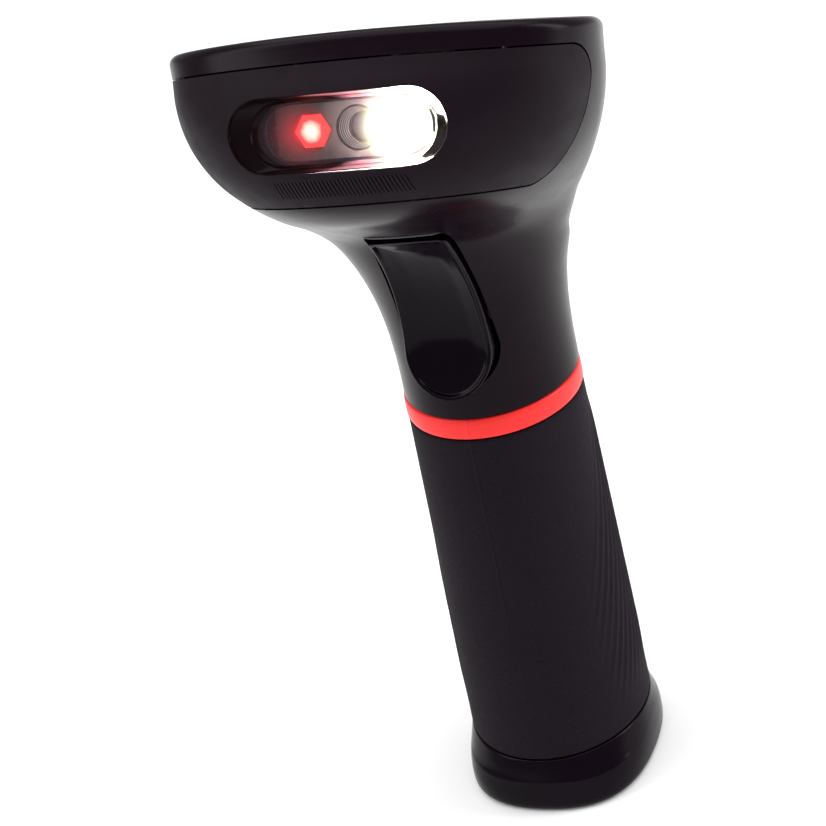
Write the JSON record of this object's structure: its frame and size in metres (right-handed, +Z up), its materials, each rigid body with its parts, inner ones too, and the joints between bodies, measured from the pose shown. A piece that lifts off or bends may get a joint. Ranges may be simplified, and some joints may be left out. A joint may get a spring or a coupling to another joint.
{
  "type": "handheld barcode scanner",
  "caption": "Cordless pistol-grip imager scanner: wide tilted nose with a lit scan window, sprung trigger, red accent ring, ribbed rubber grip and a flat foot to stand on.",
  "frame": {"origin": "middle of the flat underside of the foot, under the handle's axis", "axes": "+Z up the handle to the head, -Y forward out of the scan window, +X to the scanner's left side as it looks forward; X = 0 is the plane of symmetry of the outer shell"},
  "size_m": [0.0742, 0.0817, 0.1694],
  "materials": {
    "housing_plastic": "semi-gloss near-black moulded plastic",
    "gloss_plastic": "glossy black moulded plastic",
    "bezel_plastic": "matte dark grey plastic with a fine grain",
    "accent_plastic": "satin coral red plastic",
    "grip_rubber": "matte black rubber with fine grip ribs",
    "smoked_window": "clear smoked window",
    "lens_glass": "coated optical glass",
    "aimer_red": "clear red lens, lit from behind",
    "lamp_white": "white lamp lens, lit from behind",
    "pale_plastic": "satin light grey plastic",
    "circuit_board": "green circuit board",
    "inner_plastic": "matte black plastic",
    "contact_brass": "gold-plated contact metal",
    "cell_sleeve": "blue shrink-wrapped battery cell",
    "steel": "plain zinc-plated steel"
  },
  "bodies": {
    "scanner": {"accent_ring": "accent_plastic", "aimer_lens": "aimer_red", "battery_cell": "cell_sleeve", "battery_spring": "steel", "battery_top_contact": "contact_brass", "beeper": "inner_plastic", "board_screw_1": "steel", "board_screw_2": "steel", "bracket_screw_1": "steel", "bracket_screw_2": "steel", "camera_lens": "lens_glass", "charge_board": "circuit_board", "charge_contact_1": "contact_brass", "charge_contact_2": "contact_brass", "charge_socket": "steel", "engine_board": "circuit_board", "engine_bracket": "steel", "engine_chassis": "pale_plastic", "engine_screw_1": "steel", "engine_screw_2": "steel", "flex_cable": "contact_brass", "foot_cap": "gloss_plastic", "foot_screw_1": "steel", "foot_screw_2": "steel", "front_housing": "housing_plastic", "grip_sleeve": "grip_rubber", "handle_core": "inner_plastic", "housing_screw_1": "steel", "housing_screw_2": "steel", "housing_screw_3": "steel", "housing_screw_4": "steel", "illumination_lens": "lamp_white", "lens_barrel": "inner_plastic", "main_board": "circuit_board", "nose_bezel": "bezel_plastic", "processor_shield": "steel", "rear_cover": "housing_plastic", "status_light": "pale_plastic", "switch_board": "circuit_board", "trigger_bracket": "inner_plastic", "trigger_pin": "steel", "trigger_spring": "steel", "trigger_switch": "inner_plastic", "window_gasket": "grip_rubber", "window_glass": "smoked_window"},
    "trigger": {"trigger": "gloss_plastic"},
    "plunger": {"switch_plunger": "pale_plastic"}
  },
  "joints": [
    {"name": "trigger_press", "type": "hinge", "parent": "scanner", "child": "trigger", "pos_m": [0, -0.0185, 0.1233], "axis": [1, 0, 0], "range_deg": [0, 4.5], "stiffness_Nm_per_rad": 0.3, "springref_deg": -5.73},
    {"name": "plunger_slide", "type": "slide", "parent": "scanner", "child": "plunger", "axis": [0, 1, 0], "range_m": [0, 0.0012]}
  ],
  "couplings": [
    {"joint": "plunger_slide", "follows": "trigger_press", "m_per_rad": 0.0138}
  ]
}
